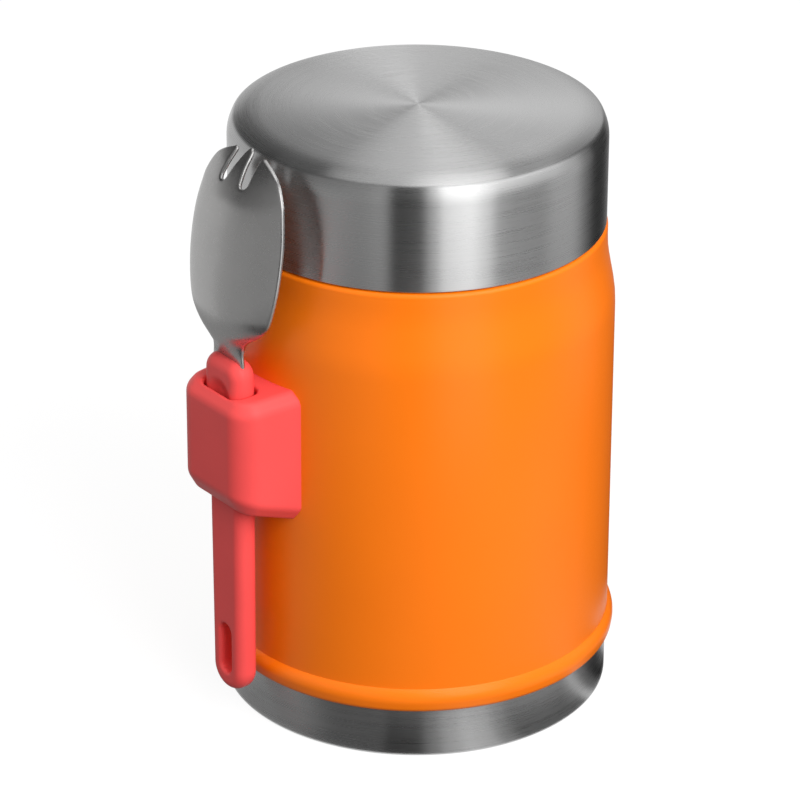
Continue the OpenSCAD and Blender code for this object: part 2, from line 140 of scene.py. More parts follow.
def lathe(outline, turns=TURNS):
    """The closed outline (r, z) turned round Z, as vertices and faces."""
    verts, rings, faces = [], [], []
    for r, z in outline:
        if r < ON_AXIS:
            rings.append([len(verts)] * turns)
            verts.append((0, 0, z))
            continue
        rings.append(list(range(len(verts), len(verts) + turns)))
        verts += ring(r, z, turns)
    for low, high in zip(rings, rings[1:] + rings[:1]):
        if low[0] == low[1] and high[0] == high[1]:
            continue
        for i in range(turns):
            j = (i + 1) % turns
            face = [low[i], low[j], high[j], high[i]]
            faces.append(list(dict.fromkeys(face)))
    return verts, faces


def new_object(name, data):
    made = bpy.data.objects.new(name, data)
    scene.collection.objects.link(made)
    return made


def build(name, *parts, sharp=SHARP):
    """A new object from (vertices, faces) parts, smooth but for edges sharper than the angle."""
    verts, faces = [], []
    for part_verts, part_faces in parts:
        first = len(verts)
        verts += [tuple(v) for v in part_verts]
        faces += [[first + i for i in face] for face in part_faces]
    mesh = bpy.data.meshes.new(name)
    mesh.from_pydata(verts, [], faces)
    made = bmesh.new()
    made.from_mesh(mesh)
    bmesh.ops.recalc_face_normals(made, faces=made.faces)
    made.to_mesh(mesh)
    made.free()
    mesh.shade_smooth()
    mesh.set_sharp_from_angle(angle=sharp)
    return new_object(name, mesh)


def place(piece, body, node, slot):
    """The piece takes the CAD node's place on that body, which hides the node, and gets the slot's
    material.
    """
    piece.data.materials.clear()
    piece.data.materials.append(MATERIALS[slot])
    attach(piece, body)
    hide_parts(node)


def sweep(section, path):
    """Sections (lists of points) joined in order into a closed body with flat ends."""
    n = len(section(path[0]))
    verts = [p for step in path for p in section(step)]
    ends = [list(range(n)), list(range(len(verts) - n, len(verts)))]
    return verts, ends + bands(len(path), n)


def ease(t):
    """A smooth step from 0 to 1."""
    t = min(1.0, max(0.0, t))
    return t * t * (3 - 2 * t)


# Thread between the neck and the lid: two starts, right-handed, one lead to each turn of lid_turn
LEAD = 10 * MM
STARTS = 2
THREAD_TURN = 0.62  # how much of a turn each ridge runs
THREAD_STEPS = 120
THREAD_FADE = 0.1  # the share of its run over which it grows at each end
THREAD_LEAST = 0.02  # its height there, so that its ends stay solid
THREAD_LOW = SHELL_TOP + 2.2 * MM
THREAD_SUNK = 0.05 * MM  # how deep its root sits in the wall
NECK_THREAD = 1.5 * MM
# The soft edges of its tip: their shares of its height, and of the tip's width at both ends
EDGE_DROP, EDGE_WIDE, EDGE_FLAT = 0.3, 1.15, 0.6


def ridge(start, root_r, tip_r, low_z, root_h=2.2 * MM, tip_h=1.0 * MM):
    """One helical ridge from its root radius to its tip, fading into the wall at both ends."""
    def section(t):
        grow = ease(t / THREAD_FADE) * ease((1 - t) / THREAD_FADE)
        tip = root_r + (tip_r - root_r) * max(grow, THREAD_LEAST)
        a = start + 2 * math.pi * THREAD_TURN * t
        z = low_z + LEAD * THREAD_TURN * t
        half_root, half_tip = root_h / 2, tip_h / 2
        soft = (tip - root_r) * EDGE_DROP
        upper = [
            (tip, half_tip * EDGE_FLAT), (tip - soft, half_tip * EDGE_WIDE), (root_r, half_root)
        ]
        points = [(r, -h) for r, h in upper[::-1]] + upper
        return [(r * math.cos(a), r * math.sin(a), z + h) for r, h in points]
    return sweep(section, [k / THREAD_STEPS for k in range(THREAD_STEPS + 1)])


def thread(*shape):
    """A ridge for each start."""
    return [ridge(2 * math.pi * k / STARTS, *shape) for k in range(STARTS)]


# ------------ materials

MATERIALS = {}  # by slot


def empty_material(name):
    """A material and its tree, which holds nothing."""
    material = bpy.data.materials.new(name)
    material.use_nodes = True
    material.node_tree.nodes.clear()
    return material, material.node_tree


def show(tree, socket, kind="ShaderNodeOutputMaterial"):
    """The socket is what the tree puts out."""
    out = tree.nodes.new(kind)
    tree.links.new(socket, out.inputs["Surface"])


def new_material(name):
    """A slot's material, whose tree holds its output and its shader."""
    MATERIALS[name], tree = empty_material(name)
    shader = tree.nodes.new("ShaderNodeBsdfPrincipled")
    show(tree, shader.outputs["BSDF"])
    return tree, shader


def add(tree, kind, inputs=None, **settings):
    """A node with its settings, its inputs given as values or as the sockets that feed them."""
    made = tree.nodes.new(kind)
    for name, value in settings.items():
        setattr(made, name, value)
    for name, value in (inputs or {}).items():
        if isinstance(value, bpy.types.NodeSocket):
            tree.links.new(value, made.inputs[name])
        else:
            made.inputs[name].default_value = value
    return made


def maths(tree, operation, a, b=0.0):
    """The result of one sum."""
    return add(tree, "ShaderNodeMath", {0: a, 1: b}, operation=operation).outputs[0]


def object_point(tree):
    return add(tree, "ShaderNodeTexCoord").outputs["Object"]


def noise(tree, point, scale, detail=2.0, rough=0.5):
    """Noise from 0 to 1 at a point."""
    made = add(tree, "ShaderNodeTexNoise", {
        "Vector": point, "Scale": scale, "Detail": detail, "Roughness": rough
    })
    return made.outputs["Fac"]


NOISE_LOW, NOISE_HIGH = 0.3, 0.7  # the span that a noise mostly keeps to


def spread(tree, value, low, high):
    """A noise brought from its usual span to another one."""
    return add(tree, "ShaderNodeMapRange", {
        "Value": value, "From Min": NOISE_LOW, "From Max": NOISE_HIGH, "To Min": low, "To Max": high
    }).outputs["Result"]


def mixed(tree, a, b, share):
    """That share of the first noise and the rest of the second."""
    first = maths(tree, "MULTIPLY", a, share)
    rest = maths(tree, "MULTIPLY", b, 1 - share)
    return maths(tree, "ADD", first, rest)


def blend_colours(tree, share, a, b):
    """One of two colours or a mix of them."""
    return add(tree, "ShaderNodeMix", {
        "Factor": share, 6: (*a, 1), 7: (*b, 1)
    }, data_type="RGBA").outputs[2]


def bump(tree, shader, height, distance):
    """Height in shares of a distance in metres, as a bump on the shader."""
    made = add(tree, "ShaderNodeBump", {"Height": height, "Distance": distance, "Strength": 1.0})
    tree.links.new(made.outputs["Normal"], shader.inputs["Normal"])


def vary(tree, shader, tint, colours, wear, roughs):
    """The colour follows one noise and the roughness another, each between two ends."""
    colour = blend_colours(tree, spread(tree, tint, 0, 1), *colours)
    tree.links.new(colour, shader.inputs["Base Color"])
    tree.links.new(spread(tree, wear, *roughs), shader.inputs["Roughness"])


# A darker tone of the same colour, which noise mixes in for the random spread of tone.
def darkened(colour, share):
    return tuple(c * share for c in colour)


def turned_point(tree, along, across):
    """Coordinates that run slowly round Z and fast along the profile of a turned piece."""
    x, y, z = add(tree, "ShaderNodeSeparateXYZ", {0: object_point(tree)}).outputs
    flat = add(tree, "ShaderNodeCombineXYZ", {0: x, 1: y}).outputs[0]
    radius = add(tree, "ShaderNodeVectorMath", {0: flat}, operation="LENGTH").outputs["Value"]
    unit = add(tree, "ShaderNodeVectorMath", {0: flat}, operation="NORMALIZE").outputs["Vector"]
    ux, uy, _ = add(tree, "ShaderNodeSeparateXYZ", {0: unit}).outputs
    run = maths(tree, "SUBTRACT", z, radius)
    return add(tree, "ShaderNodeCombineXYZ", {
        0: maths(tree, "MULTIPLY", ux, along),
        1: maths(tree, "MULTIPLY", uy, along),
        2: maths(tree, "MULTIPLY", run, across),
    }).outputs[0]


QUARTER_TURN = 0.25  # the highlight runs across the brushing, which follows the tangent


def brushed_steel(name, colour, rough, anisotropy):
    """Steel brushed round the axis: fine long lines in its colour, roughness and relief."""
    tree, shader = new_material(name)
    fine = noise(tree, turned_point(tree, along=2.2, across=5200), 1.0, 3.0, 0.65)
    broad = noise(tree, turned_point(tree, along=1.3, across=900), 1.0, 2.0, 0.5)
    both = mixed(tree, fine, broad, 0.65)
    vary(tree, shader, both, (darkened(colour, 0.86), colour), both, (rough * 0.85, rough * 1.2))
    shader.inputs["Metallic"].default_value = 1
    shader.inputs["Anisotropic"].default_value = anisotropy
    shader.inputs["Anisotropic Rotation"].default_value = QUARTER_TURN
    tangent = add(tree, "ShaderNodeTangent", direction_type="RADIAL", axis="Z")
    tree.links.new(tangent.outputs[0], shader.inputs["Tangent"])
    bump(tree, shader, fine, 0.004 * MM)


def plain_steel(name, colour, rough, grain=900, relief=0.002 * MM):
    """Smooth steel with faint cloudy wear and fine random scratches."""
    tree, shader = new_material(name)
    point = object_point(tree)
    cloud = noise(tree, point, 60, 3.0, 0.6)
    fine = noise(tree, point, grain, 3.0, 0.7)
    wear = mixed(tree, cloud, fine, 0.4)
    vary(tree, shader, cloud, (darkened(colour, 0.9), colour), wear, (rough * 0.8, rough * 1.2))
    shader.inputs["Metallic"].default_value = 1
    bump(tree, shader, fine, relief)


def moulded(name, colour, rough, other=None, grain=2600, relief=0.004 * MM, specular=0.5):
    """Moulded plastic, rubber or resin with a fine spark-eroded grain."""
    tree, shader = new_material(name)
    shader.inputs["Specular IOR Level"].default_value = specular
    point = object_point(tree)
    cloud = noise(tree, point, 70, 2.0, 0.5)
    fine = noise(tree, point, grain, 2.0, 0.6)
    other = other or darkened(colour, 0.94)
    vary(tree, shader, cloud, (other, colour), fine, (rough * 0.92, rough * 1.08))
    bump(tree, shader, fine, relief)


def painted(name, colour, other, rough):
    """Powder coat: an even colour with a fine orange-peel surface."""
    tree, shader = new_material(name)
    shader.inputs["Specular IOR Level"].default_value = 0.5
    point = object_point(tree)
    cloud = noise(tree, point, 40, 2.0, 0.5)
    peel = noise(tree, point, 1100, 2.0, 0.5)
    vary(tree, shader, cloud, (other, colour), peel, (rough * 0.94, rough * 1.06))
    bump(tree, shader, peel, 0.006 * MM)


painted("painted_orange", (0.93, 0.187, 0.001), (0.91, 0.181, 0.001), 0.36)
brushed_steel("brushed_steel", (0.6, 0.6, 0.6), 0.28, 1.0)
plain_steel("bare_steel", (0.62, 0.61, 0.6), 0.3)
plain_steel("spork_steel", (0.49, 0.485, 0.48), 0.29)
plain_steel("screw_steel", (0.5, 0.5, 0.5), 0.35)
plain_steel("copper_foil", (0.78, 0.45, 0.28), 0.25, 500, 0.02 * MM)
moulded("coral_moulding", (0.9, 0.085, 0.082), 0.38, specular=0.32)
moulded("lid_moulding", (0.012, 0.012, 0.013), 0.5, (0.018, 0.018, 0.019))
moulded("gasket_silicone", (0.62, 0.62, 0.6), 0.5)
moulded("seal_resin", (0.02, 0.02, 0.02), 0.6)
moulded("getter_pellet", (0.05, 0.05, 0.05), 0.9, None, 1500, 0.05 * MM)
moulded("foam", (0.85, 0.82, 0.7), 0.9, None, 700, 0.2 * MM)


# ------------ jar

ARC_POINTS = 14


def joined_rounds(a, ra, b, rb):
    """Right half of the outline of two circles and their common tangent, from below upwards."""
    way = math.atan2(b[1] - a[1], b[0] - a[0])
    far = math.hypot(b[0] - a[0], b[1] - a[1])
    turn = math.acos((ra - rb) / far)
    angles_b = np.linspace(-math.pi / 2, way + turn, ARC_POINTS)
    angles_a = np.linspace(way + turn, math.pi / 2, ARC_POINTS)
    low = [(b[0] + rb * math.cos(t), b[1] + rb * math.sin(t)) for t in angles_b]
    high = [(a[0] + ra * math.cos(t), a[1] + ra * math.sin(t)) for t in angles_a]
    return low + high


BEAD_ROUND, BEAD_RISE = 3.7 * MM, 2.7 * MM
BEAD_FOOT_ROUND, BEAD_FOOT_RISE, BEAD_FOOT_IN = 1.6 * MM, 1.3 * MM, 0.2 * MM
BEAD_FOOT_R = BEAD_R - BEAD_FOOT_IN - BEAD_FOOT_ROUND
BEAD_TRIM = 0.02 * MM  # no point of the bead comes nearer to the wall or the band


def bead_outline():
    """The bead from the underside that meets the band to where it runs into the wall."""
    big = (BEAD_R - BEAD_ROUND, BAND_TOP + BEAD_RISE)
    small = (BEAD_FOOT_R, BAND_TOP + BEAD_FOOT_RISE)
    found = joined_rounds(big, BEAD_ROUND, small, BEAD_FOOT_ROUND)
    return [
        (r, z) for r, z in found if z > BAND_TOP + BEAD_TRIM and r > BODY_R + BEAD_TRIM
    ]


SHOULDER_ROUND = 30 * MM
COLLAR_ROUND = 1.2 * MM


def make_outer_shell():
    """Painted shell: shoulder, collar and bead outside, and the skirt inside the base band. The
    outline's first point only gives the wall its direction."""
    out = rounded([
        (BODY_R, (BAND_TOP + SHOULDER_LOW) / 2, 0), (BODY_R, SHOULDER_LOW, SHOULDER_ROUND),
        (COLLAR_R, SHOULDER_HIGH, SHOULDER_ROUND), (COLLAR_R, SHELL_TOP, COLLAR_ROUND),
        (NECK_R, SHELL_TOP, 0), (NECK_R, SHELL_TOP - SHEET, 0),
        (COLLAR_R - SHEET, SHELL_TOP - SHEET, COLLAR_ROUND - SHEET),
        (COLLAR_R - SHEET, SHOULDER_HIGH, SHOULDER_ROUND),
        (BODY_R - SHEET, SHOULDER_LOW, SHOULDER_ROUND),
        (BODY_R - SHEET, BAND_TOP + SHEET, 0),
        (SKIRT_R - SHEET, BAND_TOP + SHEET, 0), (SKIRT_R - SHEET, SKIRT_Z, 0),
        (SKIRT_R, SKIRT_Z, 0), (SKIRT_R, BAND_TOP, 0),
    ])
    outline = out[1:] + [(BEAD_FOOT_R, BAND_TOP)] + bead_outline()
    piece = build("outer_shell_painted", lathe(outline, FINE_TURNS))
    place(piece, "jar", "outer_shell", "painted_orange")


FOOT_R = SKIRT_R - 7 * MM  # inner edge of the ring that the jar stands on
FOOT_RISE, FOOT_ROUND = 1.5 * MM, 0.8 * MM


def make_base_cup():
    outline = rounded([
        (0, FOOT_RISE, 0), (FOOT_R - FOOT_RISE, FOOT_RISE, FOOT_ROUND), (FOOT_R, 0, FOOT_ROUND),
        (BAND_R, 0, 0.9 * MM), (BAND_R, BAND_TOP, 0.15 * MM), (SKIRT_R, BAND_TOP, 0),
        (SKIRT_R, SHEET, 0.3 * MM), (FOOT_R, SHEET, FOOT_ROUND),
        (FOOT_R - FOOT_RISE, FOOT_RISE + SHEET, FOOT_ROUND), (0, FOOT_RISE + SHEET, 0),
    ])
    place(build("base_cup_brushed", lathe(outline, FINE_TURNS)), "jar", "base_cup", "brushed_steel")


def make_neck_ring():
    inside_r = NECK_R - SHEET
    wall = lathe([
        (inside_r, NECK_LOW), (NECK_R, NECK_LOW), (NECK_R, NECK_HIGH), (inside_r, NECK_HIGH)
    ])
    ridges = thread(NECK_R - THREAD_SUNK, NECK_R + NECK_THREAD, THREAD_LOW)
    place(build("neck_ring_threaded", wall, *ridges), "jar", "neck_ring", "bare_steel")


LINER_CORNER, LINER_NECK_ROUND = 12 * MM, 5 * MM


def make_inner_liner():
    """Food bowl: a spun wall that narrows to the neck and ends in a flat lip."""
    lip_in = NECK_R - 2 * SHEET
    wall_in = LINER_R - SHEET
    neck_low, neck_high = SHELL_TOP - 7 * MM, SHELL_TOP - 2.5 * MM
    outline = rounded([
        (0, LINER_LOW, 0), (LINER_R, LINER_LOW, LINER_CORNER),
        (LINER_R, neck_low, LINER_NECK_ROUND), (NECK_R - SHEET, neck_high, LINER_NECK_ROUND),
        (NECK_R - SHEET, MOUTH_Z - SHEET, 0), (NECK_R, MOUTH_Z - SHEET, 0.2 * MM),
        (NECK_R, MOUTH_Z, 0.35 * MM), (lip_in, MOUTH_Z, 0.4 * MM),
        (lip_in, neck_high, LINER_NECK_ROUND), (wall_in, neck_low, LINER_NECK_ROUND),
        (wall_in, LINER_LOW + SHEET, LINER_CORNER - SHEET), (0, LINER_LOW + SHEET, 0),
    ])
    place(build("inner_liner_spun", lathe(outline)), "jar", "inner_liner", "bare_steel")


# ------------ lid

TOP_R = LID_R - 4.54 * MM  # where the lid's crown runs into its top
TOP_RISE = 0.7 * MM


def top_height(r):
    """Height of the lid's top, which rises to its middle in a long flat curve."""
    return LID_TOP - TOP_RISE * (r / TOP_R) ** 2


CROWN_Z, EDGE_Z = LID_TOP - 5.2 * MM, LID_TOP - 2.32 * MM
CROWN_ROUND, EDGE_ROUND, TOP_ROUND = 8 * MM, 1.6 * MM, 13.4 * MM
DOME_RINGS = 30


def make_lid_shell():
    """Spun lid: side, crown, a tighter edge and the flat dome, and the same again inside."""
    dome = [(r, top_height(r), 0) for r in np.linspace(TOP_R - 4 * MM, 0, DOME_RINGS)]
    outline = rounded([
        (LID_R - SHEET, LID_LOW, 0.2 * MM), (LID_R, LID_LOW, 0.3 * MM),
        (LID_R, CROWN_Z, CROWN_ROUND), (LID_R - 1.22 * MM, EDGE_Z, EDGE_ROUND),
        (TOP_R, top_height(TOP_R), TOP_ROUND), *dome,
        (0, LID_TOP - SHEET, 0), (TOP_R, top_height(TOP_R) - SHEET, TOP_ROUND - SHEET),
        (LID_R - 1.9 * MM, EDGE_Z - 0.6 * MM, EDGE_ROUND - SHEET),
        (LID_R - SHEET, CROWN_Z, CROWN_ROUND - SHEET),
    ])
    place(build("lid_shell_spun", lathe(outline, FINE_TURNS)), "lid", "lid_shell", "brushed_steel")


RIB = 1.2 * MM  # width of the two ribs that hold the gasket
RIB_IN_DEEP, RIB_OUT_DEEP = 2.4 * MM, 0.8 * MM
LINER_ROUND = 0.4 * MM


def make_lid_liner():
    """Moulded liner: disc, gasket ribs and a skirt whose ridges lie between the neck's."""
    skirt_in = CAP_R - 1.84 * MM
    seat = GASKET_HIGH
    rib_out, rib_in = NECK_R + 2.1 * MM, GASKET_R - 5.1 * MM
    outline = rounded([
        (0, seat, 0), (rib_in, seat, LINER_ROUND), (rib_in, seat - RIB_IN_DEEP, LINER_ROUND),
        (rib_in + RIB, seat - RIB_IN_DEEP, LINER_ROUND), (rib_in + RIB, seat, 0.2 * MM),
        (rib_out - RIB, seat, 0.2 * MM), (rib_out - RIB, seat - RIB_OUT_DEEP, 0.3 * MM),
        (rib_out, seat - RIB_OUT_DEEP, 0.3 * MM), (rib_out, seat, 0.1 * MM),
        (skirt_in, seat, LINER_ROUND), (skirt_in, SKIRT_LOW, LINER_ROUND),
        (CAP_R, SKIRT_LOW, LINER_ROUND), (CAP_R, DISC_TOP, 0), (0, DISC_TOP, 0),
    ])
    low = THREAD_LOW + LEAD / (2 * STARTS)
    ridges = thread(skirt_in + THREAD_SUNK, NECK_R + 0.45 * MM, low, 1.9 * MM, 0.8 * MM)
    place(build("lid_liner_moulded", lathe(outline), *ridges), "lid", "lid_liner", "lid_moulding")


def make_gasket():
    """A flat ring with a small lip round its inner edge."""
    inner = GASKET_R - 3.84 * MM
    outline = rounded([
        (inner, GASKET_LOW + 0.5 * MM, 0.25 * MM), (inner + 1.1 * MM, GASKET_LOW, 0.2 * MM),
        (GASKET_R, GASKET_LOW, 0.35 * MM), (GASKET_R, GASKET_HIGH, 0.35 * MM),
        (inner, GASKET_HIGH, 0.35 * MM),
    ])
    place(build("lid_gasket_ring", lathe(outline)), "lid_seal", "lid_gasket", "gasket_silicone")


# ------------ spork

BLADE = 1.2 * MM
BOWL_Z = HANDLE_TOP - 1.6 * MM
BOWL_L = TIP_Z - BOWL_Z
BLADE_R = HANDLE_IN_R + 4.1 * MM  # where the outward face leaves the handle
BOWL_DEPTH = 7.1 * MM
RIM_LEAN, LEAN_SHARE = 7.3 * MM, 0.536  # how far the tips lean in, and how straight the way is
BOWL_POWER = 2.2
# Half the width and the depth, as shares of the most, from the neck at 0 to the tips at 1
HALF_SHARES = [
    (0, 0.335), (0.071, 0.335), (0.129, 0.413), (0.188, 0.665), (0.247, 0.837), (0.306, 0.905),
    (0.424, 0.976), (0.541, 1), (0.659, 0.982), (0.776, 0.906), (0.835, 0.847), (0.914, 0.694),
    (0.953, 0.535), (0.985, 0.31), (1, 0.12),
]
DEPTH_SHARES = [
    (0, 0), (0.022, 0), (0.071, 0.2), (0.129, 0.48), (0.188, 0.69), (0.247, 0.83), (0.306, 0.92),
    (0.424, 0.986), (0.541, 1), (0.659, 0.958), (0.776, 0.817), (0.835, 0.66), (0.914, 0.394),
    (0.953, 0.21), (0.985, 0.04), (1, 0),
]
# The two ends of a slot between tines: shares across and along, and the radius there
SLOT_LOW, SLOT_TOP = (0.22, 0.88, 1.1 * MM), (0.15, 1.02, 1.8 * MM)
TIP_ROUND = 0.9 * MM
NECK_SUNK = 3.0 * MM
# How closely the outline and the plane within it are filled with points
HALF_STEPS, TIP_CROWDING = 400, 1.35
LOOP_STEP = 0.3 * MM
RIM_RINGS = [share * MM for share in (0.02, 0.08, 0.17, 0.3, 0.45, 0.62)]
GRID_STEP, GRID_CLEAR = 0.75 * MM, 0.95 * MM
RING_CLEAR = 0.93  # the least share of its depth that a ring's point keeps from the rim
FAR_AWAY, PARALLEL, SAME_POINT = 1e9, 1e-15, 1e-6
SLOPE_REACH, JUST_INSIDE, WELD = 0.05 * MM, 0.999, 0.002 * MM


def smooth_share(table, t):
    """A table's value at t, on the same smooth curve as in the part's source."""
    xs, ys = [p[0] for p in table], [p[1] for p in table]
    if t <= xs[0] or t >= xs[-1]:
        return ys[0] if t <= xs[0] else ys[-1]
    i = max(k for k in range(len(xs) - 1) if xs[k] <= t)
    slopes = []
    for k in (i, i + 1):
        if k == 0:
            slopes.append(0.0)
        else:
            after = min(k + 1, len(xs) - 1)
            reach = (xs[k + 1] if k + 1 < len(xs) else xs[k] + 1) - xs[k - 1]
            slopes.append((ys[after] - ys[k - 1]) / reach)
    w = xs[i + 1] - xs[i]
    u = (t - xs[i]) / w
    return (
        ys[i] * (1 + 2 * u) * (1 - u) ** 2 + ys[i + 1] * u * u * (3 - 2 * u)
        + w * u * (1 - u) ** 2 * slopes[0] - w * u * u * (1 - u) * slopes[1]
    )


def bowl_half(t):
    return BOWL_HALF * smooth_share(HALF_SHARES, t)


def bowl_surface(x, z):
    """Radius of the bowl's outward face above a point of its outline's plane."""
    t = (z - BOWL_Z) / BOWL_L
    run = max(t, 0.0)
    lean = BLADE_R - RIM_LEAN * (LEAN_SHARE * run + (1 - LEAN_SHARE) * run * run)
    bulge = BOWL_DEPTH * max(0.0, smooth_share(DEPTH_SHARES, t))
    s = min(1.0, abs(x) / bowl_half(t))
    return lean + bulge * (1 - s ** BOWL_POWER)


def slot_outline():
    """The slot between two tines: down one side, round its end and up the other."""
    (xa, za, ra), (xb, zb, rb) = SLOT_LOW, SLOT_TOP
    a = Vector((BOWL_HALF * xa, BOWL_Z + BOWL_L * za))
    b = Vector((BOWL_HALF * xb, BOWL_Z + BOWL_L * zb))
    way = math.atan2(b.y - a.y, b.x - a.x)
    turn = math.acos((ra - rb) / (b - a).length)
    arc = [
        (a.x + ra * math.cos(t), a.y + ra * math.sin(t))
        for t in np.linspace(way + turn, way + 2 * math.pi - turn, ARC_POINTS)
    ]
    left = (b.x + rb * math.cos(way + turn), b.y + rb * math.sin(way + turn))
    right = (b.x + rb * math.cos(way - turn), b.y + rb * math.sin(way - turn))
    return [left] + arc + [right]


def meet(a, b, line):
    """Where the segment a-b crosses the polyline, as (point, index), or None."""
    a, b = Vector(a), Vector(b)
    for i in range(len(line) - 1):
        c, d = Vector(line[i]), Vector(line[i + 1])
        den = (b - a).cross(d - c)
        if abs(den) < PARALLEL:
            continue
        t, u = (c - a).cross(d - c) / den, (c - a).cross(b - a) / den
        if 0 <= t <= 1 and 0 <= u <= 1:
            return (a + (b - a) * t, i)
    return None


def spaced(line, step):
    """The polyline's points at an even spacing."""
    pts = np.array(line, float)
    along = np.concatenate([[0], np.cumsum(np.linalg.norm(np.diff(pts, axis=0), axis=1))])
    count = max(2, int(round(along[-1] / step)) + 1)
    at = np.linspace(0, along[-1], count)
    return np.stack([np.interp(at, along, pts[:, k]) for k in range(2)], axis=1)


def soften(loop, corners, reach):
    """The closed loop with each corner replaced by a soft curve that starts a reach before it."""
    pts = np.array(loop)
    n = len(pts)
    for corner in corners:
        i = int(np.argmin(np.linalg.norm(pts - np.array(corner), axis=1)))
        top = pts[i].copy()
        lo, hi = i, i
        while np.linalg.norm(pts[lo % n] - top) < reach:
            lo -= 1
        while np.linalg.norm(pts[hi % n] - top) < reach:
            hi += 1
        a, b = pts[lo % n].copy(), pts[hi % n].copy()
        for k in range(lo, hi + 1):
            u = (k - lo) / (hi - lo)
            pts[k % n] = (1 - u) ** 2 * a + 2 * u * (1 - u) * top + u * u * b
    return pts


def head_loop():
    """Outline of the steel in x and z: neck, bowl and three tines, anticlockwise."""
    ts = 1 - (1 - np.linspace(0, 1, HALF_STEPS)) ** TIP_CROWDING
    right = [(bowl_half(t), BOWL_Z + BOWL_L * t) for t in ts]
    right = [(right[0][0], BOWL_Z - NECK_SUNK)] + right + [(0, TIP_Z)]
    slot = slot_outline()
    outer_i = next(i for i in range(len(right) - 1) if meet(right[i], right[i + 1], slot))
    outer, k_outer = meet(right[outer_i], right[outer_i + 1], slot)
    later = [i for i in range(outer_i + 1, len(right) - 1) if meet(right[i], right[i + 1], slot)]
    inner, k_inner = meet(right[later[-1]], right[later[-1] + 1], slot)
    down = [tuple(outer)] + slot[k_inner + 1:k_outer + 1][::-1] + [tuple(inner)]
    half = right[:outer_i + 1] + down + right[later[-1] + 1:]
    line = spaced(half, LOOP_STEP)
    mirror = line[::-1][1:] * [-1, 1]
    loop = np.concatenate([line, mirror])
    corners = [tuple(outer), tuple(inner)]
    corners += [(-x, z) for x, z in corners]
    return soften(loop, corners, TIP_ROUND)


def rim_distance(points, loop):
    """Distance from each point to the closed loop."""
    ways = np.roll(loop, -1, axis=0) - loop
    best = np.full(len(points), FAR_AWAY)
    for start, way in zip(loop, ways):
        t = np.clip(((points - start) @ way) / (way ** 2).sum(), 0, 1)
        best = np.minimum(best, np.linalg.norm(points - (start + t[:, None] * way), axis=1))
    return best


def inside(points, loop):
    """Which of the points lie inside the closed loop."""
    x, y = points[:, 0], points[:, 1]
    result = np.zeros(len(points), bool)
    j = len(loop) - 1
    for i in range(len(loop)):
        (xi, yi), (xj, yj) = loop[i], loop[j]
        if yi != yj:
            crosses = ((yi > y) != (yj > y)) & (x < (xj - xi) * (y - yi) / (yj - yi) + xi)
            result ^= crosses
        j = i
    return result


def head_plane():
    """Points and triangles of the steel's outline, with each point's distance to the rim."""
    loop = head_loop()
    ahead = np.roll(loop, -1, axis=0) - np.roll(loop, 1, axis=0)
    inward = np.stack([-ahead[:, 1], ahead[:, 0]], axis=1)
    inward /= np.linalg.norm(inward, axis=1)[:, None]
    sets = []
    for depth in RIM_RINGS:
        line = loop + inward * depth
        ok = inside(line, loop) & (rim_distance(line, loop) > depth * RING_CLEAR)
        sets.append(line[ok])
    gx, gz = np.meshgrid(
        np.arange(-BOWL_HALF, BOWL_HALF, GRID_STEP),
        np.arange(BOWL_Z - NECK_SUNK, TIP_Z, GRID_STEP),
    )
    grid = np.stack([gx.ravel(), gz.ravel()], axis=1)
    grid = grid[inside(grid, loop)]
    sets.append(grid[rim_distance(grid, loop) > GRID_CLEAR])
    points = np.concatenate([loop] + sets)
    scale = 1 / MM
    coords = [Vector((p[0] * scale, p[1] * scale)) for p in points]
    edges = [(i, (i + 1) % len(loop)) for i in range(len(loop))]
    only_inside = 1
    made = delaunay_2d_cdt(coords, edges, [], only_inside, SAME_POINT)
    flat = np.array([(v.x, v.y) for v in made[0]]) / scale
    return flat, [list(f) for f in made[2]], rim_distance(flat, loop)


def bowl_normal(x, z):
    """Unit normal of the bowl's outward face, away from the jar."""
    h = SLOPE_REACH
    dx = (bowl_surface(x + h, z) - bowl_surface(x - h, z)) / (2 * h)
    dz = (bowl_surface(x, z + h) - bowl_surface(x, z - h)) / (2 * h)
    return Vector((-dx, -1, -dz)).normalized()


def make_spork_head():
    """Pressed steel: the outline's plane brought onto the bowl on both faces, which meet in a
    round rim. Normals are taken a hair inside, because the bowl's slope breaks off at the rim."""
    flat, triangles, rim = head_plane()
    verts = []
    half = BLADE / 2
    for side in (1, -1):
        for (x, z), d in zip(flat, rim):
            normal = bowl_normal(x * JUST_INSIDE, z)
            e = min(1.0, d / half)
            thick = half * math.sqrt(max(0.0, 1 - (1 - e) ** 2))
            middle = Vector((x, -bowl_surface(x, z), z)) - normal * half
            verts.append(middle + normal * (side * thick))
    n = len(flat)
    faces = triangles + [[n + c, n + b, n + a] for a, b, c in triangles]
    piece = build("spork_head_pressed", (verts, faces), sharp=PRESSED_SHARP)
    made = bmesh.new()
    made.from_mesh(piece.data)
    bmesh.ops.remove_doubles(made, verts=made.verts, dist=WELD)
    bmesh.ops.recalc_face_normals(made, faces=made.faces)
    made.to_mesh(piece.data)
    made.free()
    place(piece, "spork", "spork_head", "spork_steel")


# ------------ moulded holder and handle

# The two mouldings are skins round a signed distance, in millimetres: d is the distance from
# the jar's axis towards the holder, and negative values are inside.

